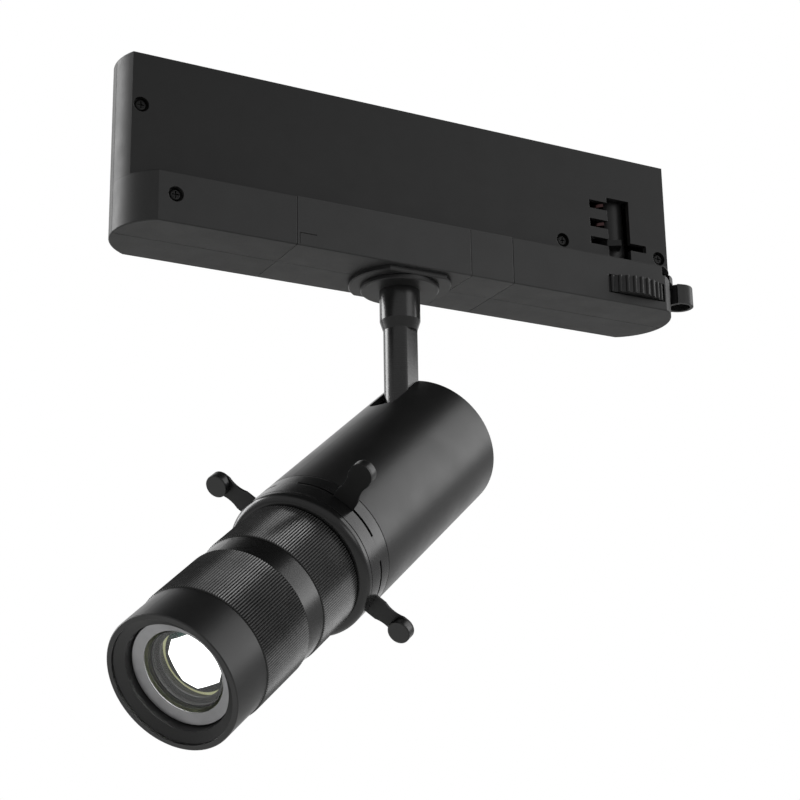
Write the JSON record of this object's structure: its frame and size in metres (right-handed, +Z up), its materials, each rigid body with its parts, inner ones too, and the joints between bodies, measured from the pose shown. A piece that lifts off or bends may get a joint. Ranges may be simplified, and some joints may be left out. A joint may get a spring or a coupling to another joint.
{
  "type": "track framing projector spotlight",
  "caption": "Black framing projector on a swivelling stem under an in-track adapter, with knurled zoom and focus rings, framing shutter levers, contact selector wheel and end latch.",
  "frame": {"origin": "centre of the adapter's flat top face, which goes up into the track", "axes": "+Z up out of the top face, +X along the adapter towards the selector wheel and end latch, -Y the side the head points to at rest"},
  "size_m": [0.2473, 0.1065, 0.2369],
  "materials": {
    "case_plastic": "matte moulded black",
    "cover_plastic": "matte moulded black",
    "screw_black": "black oxide",
    "board": "green circuit board",
    "coil": "yellow tape and dark core",
    "can": "sleeved can",
    "terminal": "white",
    "copper": "copper",
    "drum_plastic": "satin black",
    "wheel_plastic": "satin black",
    "latch_plastic": "satin black",
    "steel": "turned",
    "swivel_black": "satin black",
    "stem_black": "gloss black",
    "bush": "natural nylon",
    "head_black": "satin black anodised",
    "ring_black": "satin black anodised",
    "grip_black": "black anodised, straight knurl",
    "barrel_black": "polished black anodised",
    "sink": "anodised",
    "washer": "acetal",
    "led_board": "white solder mask",
    "emitter": "phosphor",
    "lens": "coated",
    "blade_steel": "matt black sheet steel",
    "knob_black": "satin black",
    "shoe": "black acetal",
    "bezel": "satin machined"
  },
  "bodies": {
    "adapter": {"adapter_front_shell": "case_plastic", "adapter_rear_shell": "case_plastic", "centre_cover_front": "cover_plastic", "centre_cover_rear": "cover_plastic", "latch_inserts": "cover_plastic", "case_screws": "screw_black", "driver_board": "board", "transformer": "coil", "capacitors": "can", "terminal_block": "terminal", "line_springs": "copper", "latch_pin": "steel", "swivel_plate": "swivel_black", "swivel_bush": "bush"},
    "selector": {"selector_wheel": "wheel_plastic", "contact_drum": "drum_plastic", "contact_blades": "copper"},
    "latch": {"latch_lever": "latch_plastic", "latch_plate": "latch_plastic"},
    "swivel": {"swivel_disc": "swivel_black", "stem": "stem_black", "swivel_washer": "steel", "swivel_nut": "steel"},
    "head": {"head_housing": "head_black", "rear_cap": "head_black", "head_screws": "screw_black", "tilt_clevis": "steel", "tilt_pin": "steel", "tilt_pin_clip": "steel", "friction_washers": "washer", "heat_sink": "sink", "led_board": "led_board", "led_emitter": "emitter", "condenser_holder": "ring_black", "condenser_lens": "lens", "gate_ring_rear": "ring_black", "gate_plate": "blade_steel", "gate_ring_front": "ring_black", "lens_barrel": "barrel_black"},
    "zoom_grip": {"zoom_ring": "grip_black"},
    "zoom_group": {"zoom_lens_carrier": "shoe", "zoom_lens": "lens"},
    "focus_grip": {"focus_ring": "grip_black", "front_cap": "head_black", "front_bezel": "bezel", "front_lens": "lens"},
    "focus_group": {"focus_lens_carrier": "shoe", "focus_lens": "lens"},
    "shutter_1_carrier": {"shutter_1_shoe": "shoe"},
    "shutter_1": {"shutter_1_blade": "blade_steel", "shutter_1_knob": "knob_black"},
    "shutter_2_carrier": {"shutter_2_shoe": "shoe"},
    "shutter_2": {"shutter_2_blade": "blade_steel", "shutter_2_knob": "knob_black"},
    "shutter_3_carrier": {"shutter_3_shoe": "shoe"},
    "shutter_3": {"shutter_3_blade": "blade_steel", "shutter_3_knob": "knob_black"},
    "shutter_4_carrier": {"shutter_4_shoe": "shoe"},
    "shutter_4": {"shutter_4_blade": "blade_steel", "shutter_4_knob": "knob_black"}
  },
  "joints": [
    {"name": "pan", "type": "hinge", "parent": "adapter", "child": "swivel", "pos_m": [-0.00345, 0, -0.0629], "axis": [0, 0, 1], "range_deg": [-170, 170]},
    {"name": "tilt", "type": "hinge", "parent": "swivel", "child": "head", "pos_m": [-0.00345, 0, -0.1326], "axis": [-0.4636, 0.886, 0], "range_deg": [-53.8, 19.5]},
    {"name": "selector_turn", "type": "hinge", "parent": "adapter", "child": "selector", "pos_m": [0.0885, 0, -0.05], "axis": [0, 0, 1], "range_deg": [-34, 35]},
    {"name": "latch_turn", "type": "hinge", "parent": "adapter", "child": "latch", "pos_m": [0.1015, 0, -0.05], "axis": [0, 0, 1], "range_deg": [-30, 0]},
    {"name": "zoom_turn", "type": "hinge", "parent": "head", "child": "zoom_grip", "pos_m": [-0.06566, -0.03255, -0.18397], "axis": [-0.7151, -0.3742, -0.5905], "range_deg": [-75, 75]},
    {"name": "zoom_slide", "type": "slide", "parent": "head", "child": "zoom_group", "axis": [-0.7151, -0.3742, -0.5905], "range_m": [-0.0071, 0.0071]},
    {"name": "focus_turn", "type": "hinge", "parent": "head", "child": "focus_grip", "pos_m": [-0.08926, -0.0449, -0.20346], "axis": [-0.7151, -0.3742, -0.5905], "range_deg": [0, 150]},
    {"name": "focus_slide", "type": "slide", "parent": "head", "child": "focus_group", "axis": [-0.7151, -0.3742, -0.5905], "range_m": [-0.0091, 0.0001]},
    {"name": "shutter_1_swing", "type": "hinge", "parent": "head", "child": "shutter_1_carrier", "pos_m": [-0.05043, -0.02458, -0.17139], "axis": [-0.7151, -0.3742, -0.5905], "range_deg": [-21, 28]},
    {"name": "shutter_1_slide", "type": "slide", "parent": "shutter_1_carrier", "child": "shutter_1", "axis": [-0.6977, 0.3298, 0.636], "range_m": [-0.0073, 0.0015]},
    {"name": "shutter_2_swing", "type": "hinge", "parent": "head", "child": "shutter_2_carrier", "pos_m": [-0.05043, -0.02458, -0.17139], "axis": [-0.7151, -0.3742, -0.5905], "range_deg": [-21, 28]},
    {"name": "shutter_2_slide", "type": "slide", "parent": "shutter_2_carrier", "child": "shutter_2", "axis": [0.0432, -0.8667, 0.4969], "range_m": [-0.0073, 0.0015]},
    {"name": "shutter_3_swing", "type": "hinge", "parent": "head", "child": "shutter_3_carrier", "pos_m": [-0.05043, -0.02458, -0.17139], "axis": [-0.7151, -0.3742, -0.5905], "range_deg": [-21, 28]},
    {"name": "shutter_3_slide", "type": "slide", "parent": "shutter_3_carrier", "child": "shutter_3", "axis": [0.6977, -0.3298, -0.636], "range_m": [-0.0073, 0.0015]},
    {"name": "shutter_4_swing", "type": "hinge", "parent": "head", "child": "shutter_4_carrier", "pos_m": [-0.05043, -0.02458, -0.17139], "axis": [-0.7151, -0.3742, -0.5905], "range_deg": [-21, 28]},
    {"name": "shutter_4_slide", "type": "slide", "parent": "shutter_4_carrier", "child": "shutter_4", "axis": [-0.0432, 0.8667, -0.4969], "range_m": [-0.0073, 0.0015]}
  ],
  "couplings": [
    {"joint": "zoom_slide", "follows": "zoom_turn", "m_per_rad": 0.0053476},
    {"joint": "focus_slide", "follows": "focus_turn", "m_per_rad": -0.0034377}
  ]
}
